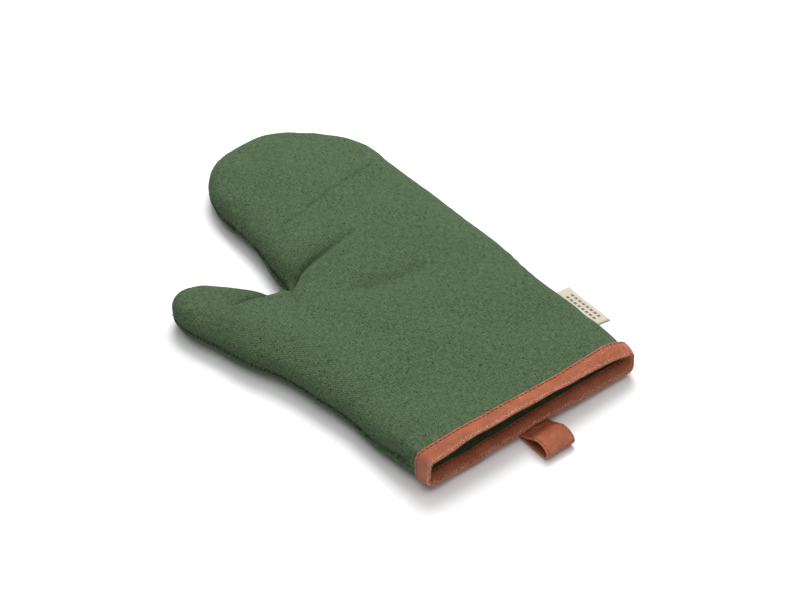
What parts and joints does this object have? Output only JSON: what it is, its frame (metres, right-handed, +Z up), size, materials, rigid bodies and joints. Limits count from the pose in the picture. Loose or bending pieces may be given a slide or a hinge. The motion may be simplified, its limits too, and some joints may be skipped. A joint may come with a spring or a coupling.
{
  "type": "oven mitt",
  "caption": "Padded cotton oven mitt with a thumb, a bound cuff, a hanging loop and a side label; the fingers and thumb fold towards the palm.",
  "frame": {"origin": "under the centre of the mitt's box, on the surface it lies on", "axes": "+Y from the cuff to the fingertips, -X the thumb side, +Z up out of the palm"},
  "size_m": [0.2084, 0.3306, 0.027],
  "materials": {
    "canvas": "heathered plain-weave cotton canvas, green",
    "batting": "needled fibre wadding, off white",
    "lining": "plain cotton lining, dark green",
    "leather": "fine-grained tan leather, slightly glossy",
    "brown_thread": "tone-on-tone polyester thread",
    "seam_thread": "heavy cotton sewing thread, olive",
    "label_tape": "woven cream tape"
  },
  "bodies": {
    "hand": {"batting_back_hand": "batting", "batting_palm_hand": "batting", "binding_stitching_inner": "brown_thread", "binding_stitching_outer": "brown_thread", "cuff_binding": "leather", "hanging_loop_lower_end": "leather", "hanging_loop_upper_end": "leather", "lining_back_hand": "lining", "lining_palm_hand": "lining", "lining_seam_thread_crotch": "seam_thread", "lining_seam_thread_left": "seam_thread", "lining_seam_thread_right": "seam_thread", "outer_back_hand": "canvas", "outer_palm_hand": "canvas", "outer_seam_thread_crotch": "seam_thread", "outer_seam_thread_left": "seam_thread", "outer_seam_thread_right": "seam_thread"},
    "fingers": {"batting_back_fingers": "batting", "batting_palm_fingers": "batting", "lining_back_fingers": "lining", "lining_palm_fingers": "lining", "lining_seam_thread_fingers": "seam_thread", "outer_back_fingers": "canvas", "outer_palm_fingers": "canvas", "outer_seam_thread_fingers": "seam_thread"},
    "thumb": {"batting_back_thumb": "batting", "batting_palm_thumb": "batting", "lining_back_thumb": "lining", "lining_palm_thumb": "lining", "lining_seam_thread_thumb": "seam_thread", "outer_back_thumb": "canvas", "outer_palm_thumb": "canvas", "outer_seam_thread_thumb": "seam_thread"},
    "hanging_loop": {"hanging_loop_strap": "leather", "loop_stitching_left": "brown_thread", "loop_stitching_right": "brown_thread"},
    "side_label": {"side_label": "label_tape"}
  },
  "joints": [
    {"name": "finger_fold", "type": "hinge", "parent": "hand", "child": "fingers", "pos_m": [0.03079, 0.06084, 0.026], "axis": [1, 0, 0], "range_deg": [0, 60]},
    {"name": "thumb_fold", "type": "hinge", "parent": "hand", "child": "thumb", "pos_m": [-0.07082, 0.00562, 0.026], "axis": [0.4548, 0.8906, 0], "range_deg": [0, 60]},
    {"name": "loop_hinge", "type": "hinge", "parent": "hand", "child": "hanging_loop", "pos_m": [0.01379, -0.14516, 0.0022], "axis": [-1, 0, 0], "range_deg": [0, 45]},
    {"name": "label_hinge", "type": "hinge", "parent": "hand", "child": "side_label", "pos_m": [0.09269, -0.08891, 0.012], "axis": [0, 1, 0], "range_deg": [-60, 50]}
  ]
}
